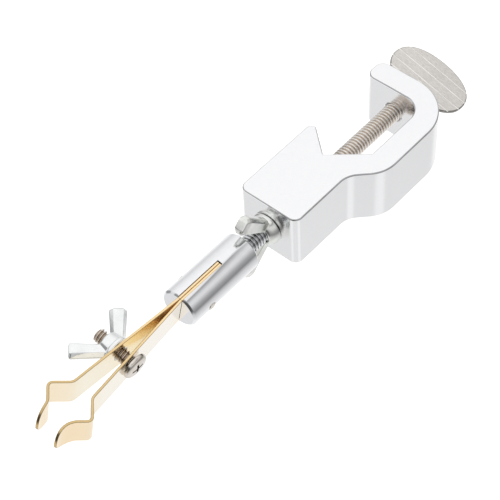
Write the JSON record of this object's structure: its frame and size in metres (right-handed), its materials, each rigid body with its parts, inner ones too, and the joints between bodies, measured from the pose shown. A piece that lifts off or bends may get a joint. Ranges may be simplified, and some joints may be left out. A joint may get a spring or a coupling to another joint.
{
  "type": "test tube clamp",
  "caption": "Boss head with a V jaw and thumb screw, carrying a slotted stem with two sprung brass jaws and a wing nut.",
  "frame": {"origin": "on the axis of the nominal 12.7 mm support rod seated in the V jaw, at the middle of the block's thickness", "axes": "+Z along the support rod, +X from the support rod out along the stem to the jaws, the C-shaped opening for the rod is towards -Y"},
  "size_m": [0.1952, 0.0355, 0.0282],
  "materials": {
    "cast_metal": "satin silver-white casting with smooth faces",
    "nickel_thread": "warm nickel plate on a rolled thread",
    "brushed_nickel": "warm nickel plate, brushed along the plate",
    "bright_thread": "bright plated thread",
    "cast_nut": "plated die casting, slightly greenish grey",
    "chrome": "polished chrome plate",
    "rivet_steel": "plain cut end",
    "brass": "pale rolled brass, smooth faces and darker sheared edges",
    "nickel_screw": "warm nickel plate, polished",
    "bright_nut": "bright plated die casting"
  },
  "bodies": {
    "block": {"block": "cast_metal"},
    "thumb_shank": {"thumb_shank": "nickel_thread"},
    "thumb_head": {"thumb_hub": "nickel_thread", "thumb_plate": "brushed_nickel"},
    "stem": {"stem": "chrome", "stud": "bright_thread", "rivet": "rivet_steel", "left_tail": "brass", "right_tail": "brass"},
    "lock_nut": {"lock_nut": "cast_nut"},
    "left_jaw": {"left_blade": "brass"},
    "right_jaw": {"right_blade": "brass"},
    "clamp_screw": {"clamp_screw": "nickel_screw"},
    "clamp_hub": {"clamp_nut_hub": "bright_nut"},
    "clamp_wings": {"clamp_nut_wings": "bright_nut"}
  },
  "joints": [
    {"name": "thumb_travel", "type": "slide", "parent": "block", "child": "thumb_shank", "axis": [-1, 0, 0], "range_m": [-0.0019, 0.02791]},
    {"name": "thumb_turn", "type": "hinge", "parent": "thumb_shank", "child": "thumb_head", "pos_m": [-0.03741, 0, 0], "axis": [-1, 0, 0], "range_deg": [-540, 7920]},
    {"name": "stem_swivel", "type": "hinge", "parent": "block", "child": "stem", "pos_m": [0.03609, 0, 0], "axis": [1, 0, 0], "continuous": true},
    {"name": "lock_nut_turn", "type": "hinge", "parent": "stem", "child": "lock_nut", "pos_m": [0.03619, 0, 0], "axis": [1, 0, 0], "range_deg": [0, 180]},
    {"name": "clamp_nut_travel", "type": "slide", "parent": "stem", "child": "clamp_hub", "axis": [0, -0.9781, 0.2079], "range_m": [-0.00106, 0.00053]},
    {"name": "clamp_turn", "type": "hinge", "parent": "clamp_hub", "child": "clamp_wings", "pos_m": [0.10239, -0.00279, 0.00131], "axis": [0, -0.9781, 0.2079], "range_deg": [-720, 360]},
    {"name": "clamp_screw_travel", "type": "slide", "parent": "stem", "child": "clamp_screw", "axis": [0, 0.9781, -0.2079], "range_m": [-0.00106, 0.00053]},
    {"name": "left_jaw_flex", "type": "hinge", "parent": "stem", "child": "left_jaw", "pos_m": [0.07859, -0.00044, 0.0001], "axis": [0, -0.2079, -0.9781], "range_deg": [-2.55, 1.28]},
    {"name": "right_jaw_flex", "type": "hinge", "parent": "stem", "child": "right_jaw", "pos_m": [0.07859, 0.00044, -0.0001], "axis": [0, 0.2079, 0.9781], "range_deg": [-2.55, 1.28]}
  ],
  "couplings": [
    {"joint": "thumb_turn", "follows": "thumb_travel", "rad_per_m": 4947.4},
    {"joint": "clamp_turn", "follows": "clamp_nut_travel", "rad_per_m": 11878},
    {"joint": "clamp_screw_travel", "follows": "clamp_nut_travel", "ratio": 1},
    {"joint": "left_jaw_flex", "follows": "clamp_nut_travel", "rad_per_m": 42.017},
    {"joint": "right_jaw_flex", "follows": "clamp_nut_travel", "rad_per_m": 42.017}
  ]
}
